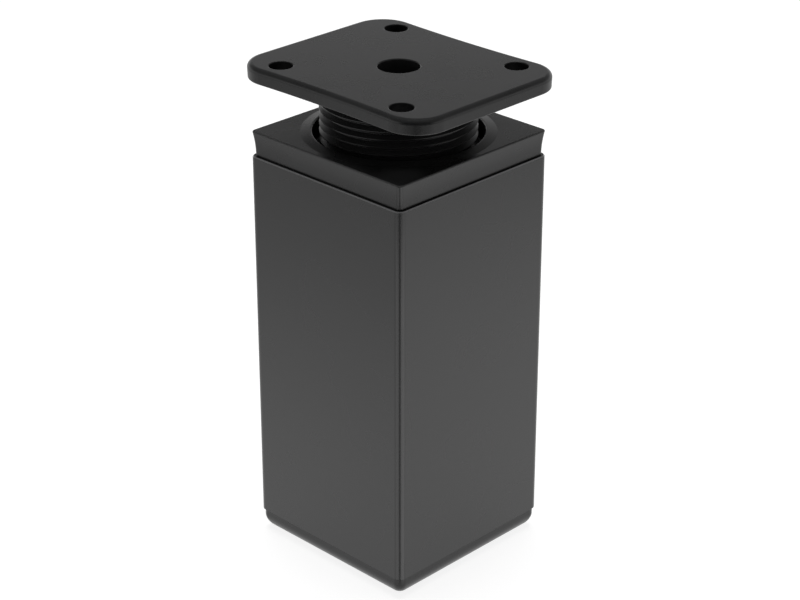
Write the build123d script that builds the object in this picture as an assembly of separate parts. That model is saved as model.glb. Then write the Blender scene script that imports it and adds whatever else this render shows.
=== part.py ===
import os
from math import cos, radians, sin
from build123d import *

# Square furniture leg with a screw plate on a threaded stem.
# Sizes are in millimetres. The origin is on the floor under the middle of the foot, and +Z is up.

# Sleeve, a square extruded tube
sleeve_width = 40.0
sleeve_wall = 1.5
sleeve_length = 77.5
sleeve_corner_radius = 1.5
sleeve_inner_radius = 0.5
rim_chamfer = 0.2  # deburred edge at both cut ends

# Plugs of the foot and the insert, pressed into the sleeve
plug_clearance = 0.15  # on each side, taken up by the crush ribs
plug_corner_radius = 1.0
plug_lead_in = 0.6
rib_width = 1.2
rib_root = 0.5  # how far a rib is rooted in the plug's wall
rib_spacing = 20.0  # between the two ribs on each side

# Foot cap
cap_lip_height = 4.3
cap_inset = 0.25  # step in from the sleeve's faces
cap_corner_radius = 1.6  # at the lip's upright sides
cap_sole_radius = 0.8  # at the corners of the flat sole
cap_edge_round = 3.2  # from the sides down to the sole
cap_edge_steps = 4  # sections that shape this round
cap_floor = 2.4
cap_plug_depth = 12.0
cap_plug_wall = 1.8

# Top insert
flange_height = 5.0
flange_top_inset = 0.2  # both insets are steps in from the sleeve's faces
flange_foot_inset = 0.65
flange_flare_steps = 3  # sections that shape the flare between them
flange_corner_radius = 0.9
flange_top_round = 0.25
flange_foot_round = 0.15
insert_plug_depth = 18.0
insert_plug_wall = 1.6
socket_wall = 3.2  # between the socket and the plug's flat sides
socket_boss_wall = 1.8  # around the socket in the cored corners
corner_core_width = 7.0
corner_core_radius = 0.8
mouth_relief = 1.2  # step out from the socket above the thread
mouth_depth = 4.0
collar_height = 0.3  # low sloping ring around the mouth
collar_wall = 2.25
collar_land = 0.4  # flat part of the ring at the mouth
mouth_round = 0.2

# Thread between stem and socket, at its outer diameter
thread_clearance = 0.15
thread_pitch = 1.5
turns_exposed = 6  # whole turns that the leg is screwed out
seat_gap = 0.45  # left between plate and insert when screwed right in

# Mounting plate and its hollow stem
plate_width = 40.9
plate_length = 48.4
plate_waist = 0.95  # how far each long side curves in at its middle
plate_thickness = 3.0
plate_draft = 2.0  # degrees, its sides draw in towards the stem
plate_corner_radius = 6.8
plate_top_round = 1.0
plate_under_round = 0.25
screw_hole_diameter = 4.5
screw_hole_round = 0.25
screw_margin_x = 5.2  # from the plate's sides to the screw holes' centres
screw_margin_y = 8.45
centre_hole_diameter = 8.0
centre_hole_round = 0.2
stem_length = 34.0
stem_wall = 3.4
stem_lead_in = 1.0

# Heights of the joints between the pieces
sleeve_base = cap_lip_height
sleeve_top = sleeve_base + sleeve_length
insert_top = sleeve_top + flange_height
collar_top = insert_top + collar_height
plate_base = collar_top + turns_exposed * thread_pitch + seat_gap
plate_top = plate_base + plate_thickness

# Widths of the fits
sleeve_inside = sleeve_width - 2 * sleeve_wall
plug_width = sleeve_inside - 2 * plug_clearance
socket_radius = plug_width / 2 - socket_wall
stem_radius = socket_radius - thread_clearance


def square_block(width, corner_radius, low, high):
    outline = RectangleRounded(width, width, corner_radius)
    return Pos(0, 0, low) * extrude(outline, high - low)


def round_block(radius, low, high):
    return Pos(0, 0, low) * extrude(Circle(radius), high - low)


def crush_ribs(low, high):
    depth = plug_clearance + rib_root
    rib = Box(rib_width, depth, high - low)
    ribs = []
    for side in range(4):
        for offset in (-rib_spacing / 2, rib_spacing / 2):
            place = Pos(offset, (sleeve_inside - depth) / 2, (low + high) / 2)
            ribs.append(Rot(0, 0, 90 * side) * place * rib)
    return ribs


def plug(seat, tip):
    # Square block from its seat to its chamfered tip, with ribs that grip the sleeve
    low, high = sorted((seat, tip))
    block = square_block(plug_width, plug_corner_radius, low, high)
    tip_face = block.faces().sort_by(Axis.Z)[0 if tip < seat else -1]
    block = chamfer(tip_face.edges(), plug_lead_in)
    rib_end = tip + plug_lead_in if tip < seat else tip - plug_lead_in
    return block + crush_ribs(min(seat, rib_end), max(seat, rib_end))


def turned(profile):
    # Round block about the leg's axis from (radius, height) points
    return revolve(Plane.XZ * make_face(Polyline(*profile, close=True)), Axis.Z)


def round_rims(piece, hole_radius, rim_round):
    # Rounds the upper rims of the holes of one radius in a piece's top face
    circles = piece.edges().filter_by(GeomType.CIRCLE).group_by(Axis.Z)[-1]
    rims = circles.filter_by(lambda edge: abs(edge.radius - hole_radius) < rim_round / 2)
    return fillet(rims, rim_round)


def make_sleeve():
    tube = square_block(sleeve_width, sleeve_corner_radius, sleeve_base, sleeve_top)
    rims = tube.faces().filter_by(Axis.Z).edges()
    tube = chamfer(rims, rim_chamfer)
    return tube - square_block(sleeve_inside, sleeve_inner_radius, sleeve_base, sleeve_top)


def make_foot_cap():
    lip_width = sleeve_width - 2 * cap_inset
    sections = []
    for step in range(cap_edge_steps + 1):
        angle = radians(90 * step / cap_edge_steps)
        inset = cap_edge_round * (1 - sin(angle))
        height = cap_edge_round * (1 - cos(angle))
        corner = cap_corner_radius + (cap_sole_radius - cap_corner_radius) * inset / cap_edge_round
        width = lip_width - 2 * inset
        sections.append(Pos(0, 0, height) * RectangleRounded(width, width, corner))
    lip = loft(sections) + square_block(lip_width, cap_corner_radius, cap_edge_round, sleeve_base)

    plug_top = sleeve_base + cap_plug_depth
    core_width = plug_width - 2 * cap_plug_wall
    core = square_block(core_width, plug_corner_radius, cap_floor, plug_top)
    return lip + plug(sleeve_base, plug_top) - core


def make_top_insert():
    sections = []
    for step in range(flange_flare_steps + 1):
        share = step / flange_flare_steps
        inset = flange_foot_inset + (flange_top_inset - flange_foot_inset) * share**2
        width = sleeve_width - 2 * inset
        outline = RectangleRounded(width, width, flange_corner_radius)
        sections.append(Pos(0, 0, sleeve_top + flange_height * share) * outline)
    flange = loft(sections)
    flange = fillet(flange.faces().sort_by(Axis.Z)[-1].edges(), flange_top_round)
    flange = fillet(flange.faces().sort_by(Axis.Z)[0].edges(), flange_foot_round)

    plug_tip = sleeve_top - insert_plug_depth
    mouth_radius = socket_radius + mouth_relief
    collar_radius = mouth_radius + collar_wall
    collar = turned([
        (0, sleeve_top),
        (collar_radius, sleeve_top),
        (collar_radius, insert_top),
        (mouth_radius + collar_land, collar_top),
        (0, collar_top),
    ])
    body = flange + collar + plug(sleeve_top, plug_tip)

    # The corners beside the round socket are cored from below
    core = square_block(corner_core_width, corner_core_radius, plug_tip, sleeve_top)
    core_spacing = plug_width - 2 * insert_plug_wall - corner_core_width
    boss = round_block(socket_radius + socket_boss_wall, plug_tip, sleeve_top)
    for place in GridLocations(core_spacing, core_spacing, 2, 2):
        body -= place * core - boss

    # Open mouth with a rounded rim, relief, thread lead-in and threaded socket
    mouth_floor = collar_top - mouth_depth
    body -= turned([
        (0, plug_tip),
        (socket_radius, plug_tip),
        (socket_radius, mouth_floor - mouth_relief),
        (mouth_radius, mouth_floor),
        (mouth_radius, collar_top),
        (0, collar_top),
    ])
    return round_rims(body, mouth_radius, mouth_round)


def plate_outline():
    end_x = plate_width / 2
    end_y = plate_length / 2
    waist_x = end_x - plate_waist
    right = ThreePointArc((end_x, -end_y), (waist_x, 0), (end_x, end_y))
    left = ThreePointArc((-end_x, end_y), (-waist_x, 0), (-end_x, -end_y))
    outline = make_face([right, Line(right @ 1, left @ 0), left, Line(left @ 1, right @ 0)])
    return fillet(outline.vertices(), plate_corner_radius)


def make_mounting_plate():
    plate = Pos(0, 0, plate_top) * extrude(plate_outline(), -plate_thickness, taper=plate_draft)
    plate = fillet(plate.faces().sort_by(Axis.Z)[-1].edges(), plate_top_round)
    plate = fillet(plate.faces().sort_by(Axis.Z)[0].edges(), plate_under_round)

    stem_end = plate_base - stem_length
    stem = round_block(stem_radius, stem_end, plate_base)
    plate += chamfer(stem.faces().sort_by(Axis.Z)[0].edges(), stem_lead_in)
    hollow_radius = stem_radius - stem_wall
    plate -= turned([
        (0, stem_end),
        (hollow_radius, stem_end),
        (hollow_radius, plate_base),
        (centre_hole_diameter / 2, plate_base),
        (centre_hole_diameter / 2, plate_top),
        (0, plate_top),
    ])

    drill = round_block(screw_hole_diameter / 2, plate_base, plate_top)
    spacing_x = plate_width - 2 * screw_margin_x
    spacing_y = plate_length - 2 * screw_margin_y
    for place in GridLocations(spacing_x, spacing_y, 2, 2):
        plate -= place * drill

    plate = round_rims(plate, centre_hole_diameter / 2, centre_hole_round)
    return round_rims(plate, screw_hole_diameter / 2, screw_hole_round)


pieces = {
    "sleeve": make_sleeve(),
    "foot_cap": make_foot_cap(),
    "top_insert": make_top_insert(),
    "mounting_plate": make_mounting_plate(),
}

os.makedirs("parts", exist_ok=True)
for name, piece in pieces.items():
    piece.label = name
    export_step(piece, os.path.join("parts", f"{name}.step"))
    box = piece.bounding_box()
    print(f"{name}: {box.size.X:.2f} x {box.size.Y:.2f} x {box.size.Z:.2f} mm")
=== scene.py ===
import math

import bmesh
import bpy
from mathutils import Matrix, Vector


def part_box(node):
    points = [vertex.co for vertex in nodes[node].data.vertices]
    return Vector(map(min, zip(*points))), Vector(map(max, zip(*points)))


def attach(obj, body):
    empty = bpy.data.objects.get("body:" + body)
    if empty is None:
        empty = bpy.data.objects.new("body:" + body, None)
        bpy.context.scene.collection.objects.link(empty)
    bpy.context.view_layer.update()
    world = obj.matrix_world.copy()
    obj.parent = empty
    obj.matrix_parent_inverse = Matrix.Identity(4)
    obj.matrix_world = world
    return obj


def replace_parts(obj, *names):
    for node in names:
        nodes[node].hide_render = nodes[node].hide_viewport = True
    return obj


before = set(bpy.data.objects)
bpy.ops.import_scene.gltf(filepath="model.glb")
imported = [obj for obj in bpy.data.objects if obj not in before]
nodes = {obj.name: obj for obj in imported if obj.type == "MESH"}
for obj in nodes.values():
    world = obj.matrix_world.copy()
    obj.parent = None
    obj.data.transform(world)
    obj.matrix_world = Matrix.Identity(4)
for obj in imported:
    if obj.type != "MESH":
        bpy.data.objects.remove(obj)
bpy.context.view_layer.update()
mm = 0.001  # sizes below are written in millimetres
tiny = 0.01 * mm  # how far apart still counts as the same place
mergeReach = 0.001 * mm
print("frame loaded:", ", ".join(sorted(nodes)))


def addNode(tree, kind, **values):
    node = tree.nodes.new(kind)
    for name, value in values.items():
        if name in node.inputs:
            node.inputs[name].default_value = value
        else:
            setattr(node, name, value)
    return node


# fine grain and slow patches, shared by the coat and the mouldings
noise = {
    "grain": {"Detail": 4.0, "Roughness": 0.62},
    "patches": {"Detail": 2.0, "Roughness": 0.5},
    "patchRange": (0.3, 0.7),  # the noise keeps near its middle
}


def buildFineGrain():
    group = bpy.data.node_groups.new("fineGrain", "ShaderNodeTree")
    for name in ("Grain Scale", "Patch Scale"):
        group.interface.new_socket(name, in_out="INPUT", socket_type="NodeSocketFloat")
    for name in ("Height", "Patches"):
        group.interface.new_socket(name, in_out="OUTPUT", socket_type="NodeSocketFloat")
    entry = group.nodes.new("NodeGroupInput")
    leave = group.nodes.new("NodeGroupOutput")
    place = group.nodes.new("ShaderNodeTexCoord")
    grain = addNode(group, "ShaderNodeTexNoise", **noise["grain"])
    patches = addNode(group, "ShaderNodeTexNoise", **noise["patches"])
    spread = group.nodes.new("ShaderNodeMapRange")
    spread.inputs["From Min"].default_value = noise["patchRange"][0]
    spread.inputs["From Max"].default_value = noise["patchRange"][1]
    link = group.links.new
    for texture in (grain, patches):
        link(place.outputs["Object"], texture.inputs["Vector"])
    link(entry.outputs["Grain Scale"], grain.inputs["Scale"])
    link(entry.outputs["Patch Scale"], patches.inputs["Scale"])
    link(patches.outputs["Fac"], spread.inputs["Value"])
    link(grain.outputs["Fac"], leave.inputs["Height"])
    link(spread.outputs["Result"], leave.inputs["Patches"])
    return group


fineGrain = buildFineGrain()


def makeFinish(name, look):
    material = bpy.data.materials.new(name)
    material.use_nodes = True
    tree = material.node_tree
    shader = tree.nodes["Principled BSDF"]
    shader.inputs["IOR"].default_value = look["ior"]
    shader.inputs["Specular IOR Level"].default_value = look["specular"]
    texture = tree.nodes.new("ShaderNodeGroup")
    texture.node_tree = fineGrain
    texture.inputs["Grain Scale"].default_value = 1 / look["grainSize"]
    texture.inputs["Patch Scale"].default_value = 1 / look["patchSize"]
    tint = tree.nodes.new("ShaderNodeMix")
    tint.data_type = "RGBA"
    tint.inputs["A"].default_value = (*look["dark"], 1)
    tint.inputs["B"].default_value = (*look["light"], 1)
    rough = tree.nodes.new("ShaderNodeMapRange")
    rough.inputs["To Min"].default_value = look["roughness"][0]
    rough.inputs["To Max"].default_value = look["roughness"][1]
    bump = tree.nodes.new("ShaderNodeBump")
    bump.inputs["Strength"].default_value = look["bump"]
    bump.inputs["Distance"].default_value = look["grainDepth"]
    link = tree.links.new
    link(texture.outputs["Patches"], tint.inputs["Factor"])
    link(texture.outputs["Patches"], rough.inputs["Value"])
    link(texture.outputs["Height"], bump.inputs["Height"])
    link(tint.outputs["Result"], shader.inputs["Base Color"])
    link(rough.outputs["Result"], shader.inputs["Roughness"])
    link(bump.outputs["Normal"], shader.inputs["Normal"])
    return material


satinCoat = makeFinish("satinCoat", {
    "dark": (0.0085, 0.0085, 0.0088),
    "light": (0.0115, 0.0115, 0.0118),
    "roughness": (0.24, 0.29),
    "ior": 1.5,
    "specular": 0.6,
    "grainSize": 0.35 * mm,
    "grainDepth": 0.02 * mm,
    "bump": 0.12,
    "patchSize": 14 * mm,
})
plasticLook = {
    "dark": (0.012, 0.012, 0.0122),
    "light": (0.017, 0.017, 0.0173),
    "roughness": (0.25, 0.31),
    "ior": 1.5,
    "specular": 0.42,
    "grainSize": 0.3 * mm,
    "grainDepth": 0.02 * mm,
    "bump": 0.12,
    "patchSize": 9 * mm,
}
mouldedPlastic = makeFinish("mouldedPlastic", plasticLook)
paintedEdgeLightPlastic = makeFinish("paintedEdgeLightPlastic", plasticLook)
platePlastic = makeFinish("platePlastic", plasticLook)


# changes a finish where the mask is 1
def blendFinish(tree, mask, finish):
    shader = tree.nodes["Principled BSDF"]
    link = tree.links.new
    for name, value in finish.items():
        socket = shader.inputs[name]
        mix = addNode(tree, "ShaderNodeMix", data_type="RGBA" if socket.type == "RGBA" else "FLOAT")
        if socket.links:
            link(socket.links[0].from_socket, mix.inputs["A"])
        else:
            mix.inputs["A"].default_value = socket.default_value
        mix.inputs["B"].default_value = value
        link(mask, mix.inputs["Factor"])
        link(mix.outputs["Result"], socket)


# the coat is worn through along the sharp edge of the sleeve's upper end
wornEdge = {
    "height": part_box("sleeve")[1].z,
    "width": 0.24 * mm,
    "fade": 0.048 * mm,
    "facing": (0.3, 0.5, 0.85, 0.95),  # how far the chamfer faces up, fading in and out
    "finish": {"Base Color": (0.55, 0.55, 0.56, 1), "Roughness": 0.38, "Metallic": 1.0},
}
# painted highlight: the flange's rounded upper edge is painted a little paler, standing in for light
# where shade and dark reflections leave a line
paintedEdgeLight = {
    "height": 86.81 * mm,
    "width": 0.3 * mm,
    "fade": 0.06 * mm,
    "facing": (0.15, 0.3, 0.95, 0.99),
    "finish": {"Base Color": (0.05, 0.05, 0.0505, 1), "Roughness": 0.4},
}


# changes the finish in a band along a part's upper edge: real wear on the sleeve, a painted highlight
# on the flange
def edgeWearAndPaintedLight(material, edge):
    tree = material.node_tree
    place = tree.nodes.new("ShaderNodeTexCoord")
    link = tree.links.new

    def along(output):
        split = tree.nodes.new("ShaderNodeSeparateXYZ")
        link(place.outputs[output], split.inputs["Vector"])
        return split.outputs["Z"]

    def step(value, low, high):
        ramp = tree.nodes.new("ShaderNodeMapRange")
        ramp.inputs["From Min"].default_value = low
        ramp.inputs["From Max"].default_value = high
        link(value, ramp.inputs["Value"])
        return ramp.outputs["Result"]

    def both(first, second):
        node = addNode(tree, "ShaderNodeMath", operation="MULTIPLY")
        link(first, node.inputs[0])
        link(second, node.inputs[1])
        return node.outputs["Value"]

    height = along("Object")
    lowest = edge["height"] - edge["width"]
    above = step(height, lowest, lowest + edge["fade"])
    below = step(height, edge["height"] + 2 * tiny, edge["height"])
    facing = along("Normal")
    low, lowFull, highFull, high = edge["facing"]
    band = both(step(facing, low, lowFull), step(facing, high, highFull))
    blendFinish(tree, both(both(above, below), band), edge["finish"])


edgeWearAndPaintedLight(satinCoat, wornEdge)
# the flange's upper edge gets a painted highlight
edgeWearAndPaintedLight(paintedEdgeLightPlastic, paintedEdgeLight)


# painted shade: the walls of the screw holes are painted darker and duller, standing in for the shade
# inside them
screwHole = {
    "place": (15.25 * mm, 15.75 * mm, 0),
    "radius": 2.25 * mm,
    "fade": (0.05 * mm, 0.1 * mm),  # past the radius, on the rounded rim
    "finish": {"Base Color": (0.004, 0.004, 0.004, 1), "Roughness": 0.6, "Specular IOR Level": 0.1},
}


def paintShadeInHoles(material, hole):
    tree = material.node_tree
    place = tree.nodes.new("ShaderNodeTexCoord")
    mirrored = addNode(tree, "ShaderNodeVectorMath", operation="ABSOLUTE")
    offset = addNode(tree, "ShaderNodeVectorMath", operation="SUBTRACT")
    offset.inputs[1].default_value = hole["place"]
    flat = addNode(tree, "ShaderNodeVectorMath", operation="MULTIPLY")
    flat.inputs[1].default_value = (1, 1, 0)
    away = addNode(tree, "ShaderNodeVectorMath", operation="LENGTH")
    wall = tree.nodes.new("ShaderNodeMapRange")
    wall.inputs["From Min"].default_value = hole["radius"] + hole["fade"][1]
    wall.inputs["From Max"].default_value = hole["radius"] + hole["fade"][0]
    link = tree.links.new
    link(place.outputs["Object"], mirrored.inputs[0])
    link(mirrored.outputs["Vector"], offset.inputs[0])
    link(offset.outputs["Vector"], flat.inputs[0])
    link(flat.outputs["Vector"], away.inputs[0])
    link(away.outputs["Value"], wall.inputs["Value"])
    blendFinish(tree, wall.outputs["Result"], hole["finish"])


# paints shade into the plate's screw holes
paintShadeInHoles(platePlastic, screwHole)


def dressNode(name, material):
    nodes[name].data.materials.clear()
    nodes[name].data.materials.append(material)


dressNode("sleeve", satinCoat)
dressNode("foot_cap", mouldedPlastic)
dressNode("top_insert", paintedEdgeLightPlastic)
print("finishes made:", satinCoat.name, mouldedPlastic.name, paintedEdgeLightPlastic.name, platePlastic.name)


sharpAngle = math.radians(32)  # edges that turn further stay sharp


def placePiece(bm, name, body, material):
    mesh = bpy.data.meshes.new(name)
    bm.to_mesh(mesh)
    bm.free()
    mesh.shade_smooth()
    mesh.set_sharp_from_angle(angle=sharpAngle)
    mesh.materials.clear()
    mesh.materials.append(material)
    piece = bpy.data.objects.new(name, mesh)
    bpy.context.scene.collection.objects.link(piece)
    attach(piece, body)
    print(name, "has", len(mesh.polygons), "faces")
    return piece


# right-hand thread, the same pitch on stem and socket
thread = {
    "pitch": 1.5 * mm,
    "stepsPerTurn": 48,
    "crestFlat": 0.16 * mm,
    "flankSlope": math.tan(math.radians(30)),
    "sink": 0.1 * mm,  # how deep a ridge is rooted in its wall
    "runOutSteps": 6,
}


# ridge around a stem or inside a socket
def windThread(wall):
    bm = bmesh.new()
    crestRadius = wall["crestRadius"]
    outward = math.copysign(1, crestRadius - wall["rootRadius"])
    baseRadius = wall["rootRadius"] - outward * thread["sink"]
    crestHalf = thread["crestFlat"] / 2
    baseHalf = crestHalf + abs(crestRadius - baseRadius) * thread["flankSlope"]
    profile = (
        (baseRadius, -baseHalf),
        (crestRadius, -crestHalf),
        (crestRadius, crestHalf),
        (baseRadius, baseHalf),
    )
    rise = thread["pitch"] / thread["stepsPerTurn"]
    turn = math.tau / thread["stepsPerTurn"]

    def setCrest(ring, share):
        wanted = baseRadius + (crestRadius - baseRadius) * share
        for vert in ring:
            if not isinstance(vert, bmesh.types.BMVert):
                continue
            radius = math.hypot(vert.co.x, vert.co.y)
            if abs(radius - baseRadius) > tiny:
                vert.co.xy *= wanted / radius

    def wind(ring, steps):
        made = bmesh.ops.spin(
            bm, geom=ring, cent=(0, 0, 0), axis=(0, 0, 1), dvec=(0, 0, rise),
            angle=turn * steps, steps=steps,
        )
        return made["geom_last"]

    firstVerts = [bm.verts.new((radius, 0, wall["threadStart"] + height)) for radius, height in profile]
    ring = [bm.faces.new(firstVerts), *firstVerts]
    shares = [(step + 1) / thread["runOutSteps"] for step in range(thread["runOutSteps"])]
    setCrest(firstVerts, shares[0] / 2)
    for share in shares:  # the ridge grows out of the wall
        ring = wind(ring, 1)
        setCrest(ring, share)
    ring = wind(ring, round(wall["turns"] * thread["stepsPerTurn"]))
    for share in reversed(shares[:-1]):  # and sinks back into it
        ring = wind(ring, 1)
        setCrest(ring, share)
    bmesh.ops.recalc_face_normals(bm, faces=bm.faces)
    ridge = bpy.data.meshes.new("ridge")
    bm.to_mesh(ridge)
    bm.free()
    return ridge


# plate and stem are one moulding: the stem goes down to the thread's root and gets its ridge
stem = {
    "crestRadius": 15.0 * mm,
    "rootRadius": 13.9 * mm,
    "threadStart": 64.1 * mm,
    "turns": 20.4,
    "neck": 1.1 * mm,  # plain part under the plate
    "neckSlope": 0.5 * mm,
    "neckSteps": 96,
    "plateThickness": 3.0 * mm,
}


def turnNeck(top):
    bm = bmesh.new()
    inside = stem["rootRadius"] - thread["sink"]
    profile = (
        (inside, top + thread["sink"]),
        (stem["crestRadius"], top + thread["sink"]),
        (stem["crestRadius"], top - stem["neck"]),
        (inside, top - stem["neck"] - stem["neckSlope"]),
    )
    corners = [bm.verts.new((radius, 0, height)) for radius, height in profile]
    sides = [bm.edges.new((corners[i - 1], corners[i])) for i in range(len(corners))]
    bmesh.ops.spin(
        bm, geom=corners + sides, cent=(0, 0, 0), axis=(0, 0, 1), angle=math.tau,
        steps=stem["neckSteps"], use_merge=True,
    )
    bmesh.ops.remove_doubles(bm, verts=bm.verts, dist=mergeReach)
    bmesh.ops.recalc_face_normals(bm, faces=bm.faces)
    neck = bpy.data.meshes.new("neck")
    bm.to_mesh(neck)
    bm.free()
    return neck


def makeThreadedPlate():
    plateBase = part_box("mounting_plate")[1].z - stem["plateThickness"]
    solid = nodes["mounting_plate"].data.copy()
    kept = solid.attributes.new("solidNormal", "FLOAT_VECTOR", "CORNER")  # merging would blur them
    for corner, normal in zip(kept.data, solid.corner_normals):
        corner.vector = normal.vector
    bm = bmesh.new()
    bm.from_mesh(solid)
    bmesh.ops.remove_doubles(bm, verts=bm.verts, dist=mergeReach)
    groove = stem["crestRadius"] - stem["rootRadius"]
    for vert in bm.verts:
        radius = math.hypot(vert.co.x, vert.co.y)
        onStem = stem["rootRadius"] < radius < stem["crestRadius"] + tiny
        if onStem and vert.co.z < plateBase + tiny:
            vert.co.xy *= (radius - groove) / radius  # its chamfered end goes in with it
    bm.from_mesh(windThread(stem))
    bm.from_mesh(turnNeck(plateBase))
    piece = placePiece(bm, "threadedPlate", "plate", platePlastic)
    kept = piece.data.attributes["solidNormal"]
    piece.data.normals_split_custom_set([corner.vector.copy() for corner in kept.data])
    piece.data.attributes.remove(piece.data.attributes["solidNormal"])
    return piece


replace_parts(makeThreadedPlate(), "mounting_plate")


# the insert's own thread runs half a pitch above the stem's, so that the ridges lie in the grooves
socket = {
    "rootRadius": 15.15 * mm,
    "crestRadius": 14.35 * mm,
    "threadStart": stem["threadStart"] + 1.5 * thread["pitch"],
    "turns": 9.9,
}


def makeSocketThread():
    bm = bmesh.new()
    bm.from_mesh(windThread(socket))
    return placePiece(bm, "socketThread", "leg", mouldedPlastic)


makeSocketThread()


# camera at the photograph's place, for an image of 800 by 600
camera = {
    "place": (-274.45 * mm, -270.64 * mm, 235.76 * mm),
    "target": (0.17 * mm, -0.17 * mm, 51.28 * mm),
    "lens": 98.39,
    "sensor": 36,
    "clipStart": 10 * mm,
}


def addCamera():
    data = bpy.data.cameras.new("camera")
    data.lens = camera["lens"]
    data.sensor_width = camera["sensor"]
    data.clip_start = camera["clipStart"]
    view = bpy.data.objects.new("camera", data)
    view.location = camera["place"]
    view.rotation_euler = (Vector(camera["target"]) - view.location).to_track_quat("-Z", "Y").to_euler()
    bpy.context.scene.collection.objects.link(view)
    bpy.context.scene.camera = view


addCamera()


# white floor that keeps the shadow, under one soft box and a white horizon, in metres
studio = {
    "floorHalf": 1.6,
    "floorDrop": 0.02 * mm,  # clear of the sole
    "floorColor": 0.3,
    "floorRoughness": 0.9,
    "floorWhite": 0.86,  # what the camera sees, the rest is the lamps' light and the shadow
    "floorGlow": 0.88,
    "floorGlowFar": 0.43,
    "glowCentre": (0.03, -0.03, 0),
    "glowReach": (0.06, 0.3),
    "backdrop": 1.0,  # white behind the object
    "horizon": 1.0,
    "overhead": 0.13,
    "horizonReach": (-0.02, 0.45),  # height above the horizon, as a sine
    "softBoxPlace": (0.05, 0.05, 0.62),
    "softBoxSize": 0.36,
    "softBoxPower": 3.0,
    # cards that only the reflections see, fanned out from the sleeve's near edge
    "cardCentre": (-0.0196, -0.0196),
    "cardTurn": 225,  # degrees from +X, towards the camera
    "cardColor": 0.01,
    # near and far edge as (distance, height), degrees from that direction, glow
    "cards": (
        ((0.006, 0), (0.27, 0), -13, 13, 0.35),
        ((0.006, 0), (0.2, 0), -58, -13, 1.5),
        ((0.006, 0), (0.2, 0), 13, 70, 1.8),
        ((0.27, 0), (0.87, 0), -50, 50, 0),
        ((0.87, 0.02), (0.87, 0.6), -50, 50, 0),
    ),
}


def seenRays(tree):
    paths = tree.nodes.new("ShaderNodeLightPath")
    total = paths.outputs["Is Camera Ray"]
    for name in ("Is Glossy Ray", "Is Transmission Ray"):
        most = addNode(tree, "ShaderNodeMath", operation="MAXIMUM")
        tree.links.new(total, most.inputs[0])
        tree.links.new(paths.outputs[name], most.inputs[1])
        total = most.outputs["Value"]
    return total


def addFloor():
    bm = bmesh.new()
    bmesh.ops.create_grid(bm, x_segments=1, y_segments=1, size=studio["floorHalf"])
    bmesh.ops.translate(bm, verts=bm.verts, vec=(0, 0, -studio["floorDrop"]))
    mesh = bpy.data.meshes.new("floor")
    bm.to_mesh(mesh)
    bm.free()
    material = bpy.data.materials.new("paleFloor")
    material.use_nodes = True
    tree = material.node_tree
    shader = tree.nodes["Principled BSDF"]
    shader.inputs["Base Color"].default_value = (*[studio["floorColor"]] * 3, 1)
    shader.inputs["Roughness"].default_value = studio["floorRoughness"]
    shader.inputs["Specular IOR Level"].default_value = 0.0
    shader.inputs["Emission Color"].default_value = (1, 1, 1, 1)
    place = tree.nodes.new("ShaderNodeTexCoord")
    away = addNode(tree, "ShaderNodeVectorMath", operation="DISTANCE")
    away.inputs[1].default_value = studio["glowCentre"]
    fall = addNode(tree, "ShaderNodeMapRange", interpolation_type="SMOOTHSTEP")
    fall.inputs["From Min"].default_value = studio["glowReach"][0]
    fall.inputs["From Max"].default_value = studio["glowReach"][1]
    fall.inputs["To Min"].default_value = studio["floorGlow"]
    fall.inputs["To Max"].default_value = studio["floorGlowFar"]
    paths = tree.nodes.new("ShaderNodeLightPath")
    plain = addNode(tree, "ShaderNodeMix", data_type="FLOAT")  # even white for the camera
    plain.inputs["B"].default_value = studio["floorWhite"]
    glow = addNode(tree, "ShaderNodeMath", operation="MULTIPLY")
    link = tree.links.new
    link(place.outputs["Object"], away.inputs[0])
    link(away.outputs["Value"], fall.inputs["Value"])
    link(fall.outputs["Result"], plain.inputs["A"])
    link(paths.outputs["Is Camera Ray"], plain.inputs["Factor"])
    link(plain.outputs["Result"], glow.inputs[0])
    link(seenRays(tree), glow.inputs[1])
    link(glow.outputs["Value"], shader.inputs["Emission Strength"])
    mesh.materials.append(material)
    floor = bpy.data.objects.new("floor", mesh)
    bpy.context.scene.collection.objects.link(floor)


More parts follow.
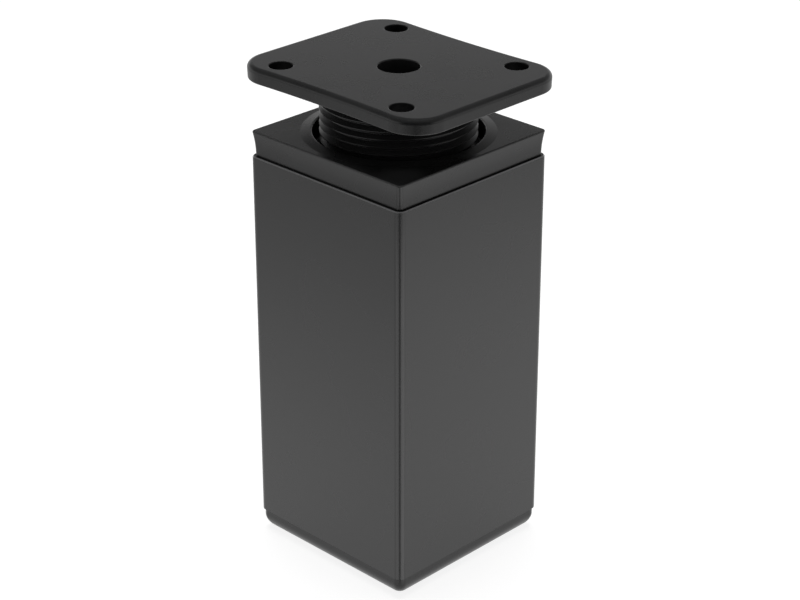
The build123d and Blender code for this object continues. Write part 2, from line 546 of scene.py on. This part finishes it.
def addWorld():
    world = bpy.data.worlds.new("studioWorld")
    world.use_nodes = True
    bpy.context.scene.world = world
    tree = world.node_tree
    place = tree.nodes.new("ShaderNodeTexCoord")
    split = tree.nodes.new("ShaderNodeSeparateXYZ")
    fall = addNode(tree, "ShaderNodeMapRange", interpolation_type="SMOOTHSTEP")
    fall.inputs["From Min"].default_value = studio["horizonReach"][0]
    fall.inputs["From Max"].default_value = studio["horizonReach"][1]
    fall.inputs["To Min"].default_value = studio["horizon"]
    fall.inputs["To Max"].default_value = studio["overhead"]
    paths = tree.nodes.new("ShaderNodeLightPath")
    level = addNode(tree, "ShaderNodeMix", data_type="FLOAT")
    level.inputs["B"].default_value = studio["backdrop"]
    back = tree.nodes["Background"]
    back.inputs["Color"].default_value = (1, 1, 1, 1)
    link = tree.links.new
    link(place.outputs["Generated"], split.inputs["Vector"])
    link(split.outputs["Z"], fall.inputs["Value"])
    link(fall.outputs["Result"], level.inputs["A"])
    link(paths.outputs["Is Camera Ray"], level.inputs["Factor"])
    link(level.outputs["Result"], back.inputs["Strength"])


def addSoftBox():
    data = bpy.data.lights.new("softBox", "AREA")
    data.shape = "SQUARE"
    data.size = studio["softBoxSize"]
    data.energy = studio["softBoxPower"]
    lamp = bpy.data.objects.new("softBox", data)
    lamp.location = studio["softBoxPlace"]
    lamp.rotation_euler = (-lamp.location).to_track_quat("-Z", "Y").to_euler()
    lamp.visible_glossy = False
    bpy.context.scene.collection.objects.link(lamp)


def addCards():
    centreX, centreY = studio["cardCentre"]
    for nearEdge, farEdge, left, right, glow in studio["cards"]:
        bm = bmesh.new()
        rim = []
        corners = ((nearEdge, left), (nearEdge, right), (farEdge, right), (farEdge, left))
        for (distance, height), turn in corners:
            angle = math.radians(studio["cardTurn"] + turn)
            x = centreX + distance * math.cos(angle)
            y = centreY + distance * math.sin(angle)
            rim.append(bm.verts.new((x, y, height)))
        bm.faces.new(rim)
        mesh = bpy.data.meshes.new("card")
        bm.to_mesh(mesh)
        bm.free()
        material = bpy.data.materials.new("card")
        material.use_nodes = True
        shader = material.node_tree.nodes["Principled BSDF"]
        shader.inputs["Base Color"].default_value = (*[studio["cardColor"]] * 3, 1)
        shader.inputs["Roughness"].default_value = 1.0
        shader.inputs["Specular IOR Level"].default_value = 0.0
        shader.inputs["Emission Color"].default_value = (1, 1, 1, 1)
        shader.inputs["Emission Strength"].default_value = glow
        mesh.materials.append(material)
        card = bpy.data.objects.new("card", mesh)
        card.visible_camera = False
        card.visible_diffuse = False
        card.visible_shadow = False
        bpy.context.scene.collection.objects.link(card)


addFloor()
addCards()
addWorld()
addSoftBox()
bpy.context.scene.view_settings.view_transform = "Standard"
print("studio ready")
